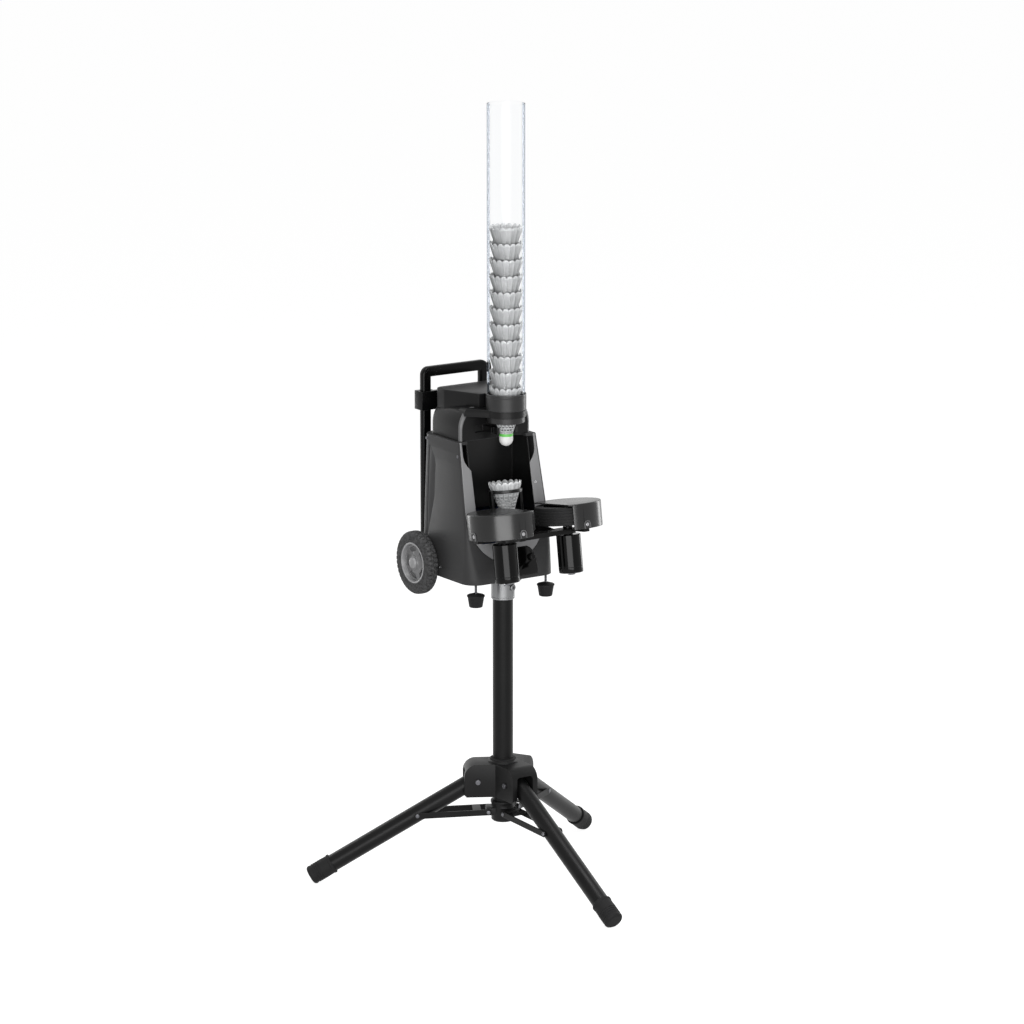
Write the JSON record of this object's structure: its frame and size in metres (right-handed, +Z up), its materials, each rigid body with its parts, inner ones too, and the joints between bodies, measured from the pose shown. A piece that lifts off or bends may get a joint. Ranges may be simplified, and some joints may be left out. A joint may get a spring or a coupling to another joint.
{
  "type": "badminton serving machine",
  "caption": "Shuttlecock feeding machine on a folding tripod: clear magazine tube, feeder, tilting head with two launch wheels, wheeled housing with a telescopic handle",
  "frame": {"origin": "on the floor, under the middle of the outline", "axes": "+Z up along the pole, -Y is the side the shuttlecocks leave from"},
  "size_m": [0.6666, 0.5824, 1.505],
  "materials": {
    "pole": "satin black coating",
    "lower_collar": "moulded",
    "hub": "moulded",
    "leg_bolt_front": "plated",
    "leg_bolt_left": "plated",
    "leg_bolt_right": "plated",
    "leg_front": "satin black coating",
    "leg_cap_front": "matte",
    "strut_front": "satin black coating",
    "leg_left": "satin black coating",
    "leg_cap_left": "matte",
    "strut_left": "satin black coating",
    "leg_right": "satin black coating",
    "leg_cap_right": "matte",
    "strut_right": "satin black coating",
    "pole_socket": "turned",
    "clamp_screw": "plated",
    "base_plate": "moulded",
    "side_shell": "fine grained dark grey",
    "front_panel": "satin grey band",
    "control_box": "gloss black",
    "shuttle_tray": "moulded",
    "tilt_bracket": "black coating",
    "tilt_gearmotor": "plated",
    "battery_pack": "shrink sleeve",
    "control_board": "solder mask",
    "feed_motor": "plated",
    "feeder_base": "moulded",
    "feeder_lid": "fine grained dark grey",
    "rear_case": "moulded",
    "tube_socket": "moulded",
    "magazine_tube": "clear tube",
    "shuttle_stack": "white skirt, cork base",
    "handle_bracket": "moulded",
    "wheel_axle": "plated",
    "tilt_knob": "moulded",
    "trolley_handle": "moulded",
    "wheel_rim_left": "moulded grey",
    "tyre_left": "matte with tread",
    "foot_stud_left": "satin black coating",
    "foot_pad_left": "matte",
    "release_jaw_left": "moulded",
    "launch_wheel_core_left": "moulded",
    "launch_wheel_tyre_left": "matte",
    "wheel_rim_right": "moulded grey",
    "tyre_right": "matte with tread",
    "foot_stud_right": "satin black coating",
    "foot_pad_right": "matte",
    "release_jaw_right": "moulded",
    "launch_wheel_core_right": "moulded",
    "launch_wheel_tyre_right": "matte",
    "launch_frame": "black coating",
    "tilt_shaft": "plated",
    "launch_motor_left": "gloss black can",
    "launch_motor_right": "gloss black can",
    "wheel_guard_left": "fine grained dark grey",
    "wheel_guard_right": "fine grained dark grey",
    "shuttle_cradle": "moulded",
    "pusher": "moulded",
    "loaded_shuttle": "white skirt, cork base"
  },
  "bodies": {
    "stand": {"pole": "pole", "lower_collar": "lower_collar"},
    "hub": {"hub": "hub", "leg_bolt_front": "leg_bolt_front", "leg_bolt_left": "leg_bolt_left", "leg_bolt_right": "leg_bolt_right"},
    "leg_front": {"leg_front": "leg_front", "leg_cap_front": "leg_cap_front"},
    "strut_front": {"strut_front": "strut_front"},
    "leg_left": {"leg_left": "leg_left", "leg_cap_left": "leg_cap_left"},
    "strut_left": {"strut_left": "strut_left"},
    "leg_right": {"leg_right": "leg_right", "leg_cap_right": "leg_cap_right"},
    "strut_right": {"strut_right": "strut_right"},
    "machine": {"pole_socket": "pole_socket", "clamp_screw": "clamp_screw", "base_plate": "base_plate", "side_shell": "side_shell", "front_panel": "front_panel", "control_box": "control_box", "shuttle_tray": "shuttle_tray", "tilt_bracket": "tilt_bracket", "tilt_gearmotor": "tilt_gearmotor", "battery_pack": "battery_pack", "control_board": "control_board", "feed_motor": "feed_motor", "feeder_base": "feeder_base", "feeder_lid": "feeder_lid", "rear_case": "rear_case", "tube_socket": "tube_socket", "magazine_tube": "magazine_tube", "shuttle_stack": "shuttle_stack", "handle_bracket": "handle_bracket", "wheel_axle": "wheel_axle"},
    "knob": {"tilt_knob": "tilt_knob"},
    "handle": {"trolley_handle": "trolley_handle"},
    "transport_wheel_left": {"wheel_rim_left": "wheel_rim_left", "tyre_left": "tyre_left"},
    "level_foot_left": {"foot_stud_left": "foot_stud_left", "foot_pad_left": "foot_pad_left"},
    "jaw_left": {"release_jaw_left": "release_jaw_left"},
    "launch_wheel_left": {"launch_wheel_core_left": "launch_wheel_core_left", "launch_wheel_tyre_left": "launch_wheel_tyre_left"},
    "transport_wheel_right": {"wheel_rim_right": "wheel_rim_right", "tyre_right": "tyre_right"},
    "level_foot_right": {"foot_stud_right": "foot_stud_right", "foot_pad_right": "foot_pad_right"},
    "jaw_right": {"release_jaw_right": "release_jaw_right"},
    "launch_wheel_right": {"launch_wheel_core_right": "launch_wheel_core_right", "launch_wheel_tyre_right": "launch_wheel_tyre_right"},
    "launch_head": {"launch_frame": "launch_frame", "tilt_shaft": "tilt_shaft", "launch_motor_left": "launch_motor_left", "launch_motor_right": "launch_motor_right", "wheel_guard_left": "wheel_guard_left", "wheel_guard_right": "wheel_guard_right"},
    "carriage": {"shuttle_cradle": "shuttle_cradle", "pusher": "pusher", "loaded_shuttle": "loaded_shuttle"}
  },
  "joints": [
    {"name": "hub_slide", "type": "slide", "parent": "stand", "child": "hub", "axis": [0, 0, 1], "range_m": [0, 0.2]},
    {"name": "leg_fold_front", "type": "hinge", "parent": "hub", "child": "leg_front", "pos_m": [0, 0.03916, 0.20207], "axis": [1, 0, 0], "range_deg": [0, 52]},
    {"name": "strut_fold_front", "type": "hinge", "parent": "stand", "child": "strut_front", "pos_m": [0, 0.06016, 0.1385], "axis": [-1, 0, 0], "range_deg": [0, 75]},
    {"name": "leg_fold_left", "type": "hinge", "parent": "hub", "child": "leg_left", "pos_m": [-0.0433, 0.11416, 0.20207], "axis": [-0.5, -0.866, 0], "range_deg": [0, 52]},
    {"name": "strut_fold_left", "type": "hinge", "parent": "stand", "child": "strut_left", "pos_m": [-0.02511, 0.10366, 0.1385], "axis": [0.5, 0.866, 0], "range_deg": [0, 75]},
    {"name": "leg_fold_right", "type": "hinge", "parent": "hub", "child": "leg_right", "pos_m": [0.0433, 0.11416, 0.20207], "axis": [-0.5, 0.866, 0], "range_deg": [0, 52]},
    {"name": "strut_fold_right", "type": "hinge", "parent": "stand", "child": "strut_right", "pos_m": [0.02511, 0.10366, 0.1385], "axis": [0.5, -0.866, 0], "range_deg": [0, 75]},
    {"name": "body_swivel", "type": "hinge", "parent": "stand", "child": "machine", "pos_m": [0, 0.08916, 0.58], "axis": [0, 0, 1], "range_deg": [-180, 180]},
    {"name": "knob_turn", "type": "hinge", "parent": "machine", "child": "knob", "pos_m": [0.044, 0.05649, 0.63915], "axis": [0, -0.9793, 0.2025], "range_deg": [-150, 150]},
    {"name": "handle_slide", "type": "slide", "parent": "machine", "child": "handle", "axis": [0, 0, 1], "range_m": [0, 0.2]},
    {"name": "transport_wheel_left_spin", "type": "hinge", "parent": "machine", "child": "transport_wheel_left", "pos_m": [-0.11374, 0.21316, 0.6185], "axis": [1, 0, 0], "continuous": true},
    {"name": "level_foot_left_screw", "type": "slide", "parent": "machine", "child": "level_foot_left", "axis": [0, 0, -1], "range_m": [0, 0.008]},
    {"name": "transport_wheel_right_spin", "type": "hinge", "parent": "machine", "child": "transport_wheel_right", "pos_m": [0.11374, 0.21316, 0.6185], "axis": [1, 0, 0], "continuous": true},
    {"name": "level_foot_right_screw", "type": "slide", "parent": "machine", "child": "level_foot_right", "axis": [0, 0, -1], "range_m": [0, 0.008]},
    {"name": "jaw_left_open", "type": "slide", "parent": "machine", "child": "jaw_left", "axis": [-1, 0, 0], "range_m": [0, 0.018]},
    {"name": "jaw_right_open", "type": "slide", "parent": "machine", "child": "jaw_right", "axis": [1, 0, 0], "range_m": [0, 0.018]},
    {"name": "head_tilt", "type": "hinge", "parent": "machine", "child": "launch_head", "pos_m": [0, 0.10916, 0.7], "axis": [-1, 0, 0], "range_deg": [-10, 10]},
    {"name": "launch_wheel_left_spin", "type": "hinge", "parent": "launch_head", "child": "launch_wheel_left", "pos_m": [-0.0725, -0.0183, 0.73375], "axis": [0, 0.1444, 0.9895], "continuous": true},
    {"name": "launch_wheel_right_spin", "type": "hinge", "parent": "launch_head", "child": "launch_wheel_right", "pos_m": [0.0725, -0.0183, 0.73375], "axis": [0, 0.1444, 0.9895], "continuous": true},
    {"name": "carriage_feed", "type": "slide", "parent": "launch_head", "child": "carriage", "axis": [0, -0.9895, 0.1444], "range_m": [0, 0.036]}
  ],
  "couplings": [
    {"joint": "leg_fold_front", "follows": "hub_slide", "rad_per_m": 4.5},
    {"joint": "strut_fold_front", "follows": "hub_slide", "rad_per_m": 6.5},
    {"joint": "leg_fold_left", "follows": "hub_slide", "rad_per_m": 4.5},
    {"joint": "strut_fold_left", "follows": "hub_slide", "rad_per_m": 6.5},
    {"joint": "leg_fold_right", "follows": "hub_slide", "rad_per_m": 4.5},
    {"joint": "strut_fold_right", "follows": "hub_slide", "rad_per_m": 6.5},
    {"joint": "jaw_right_open", "follows": "jaw_left_open", "ratio": 1}
  ]
}
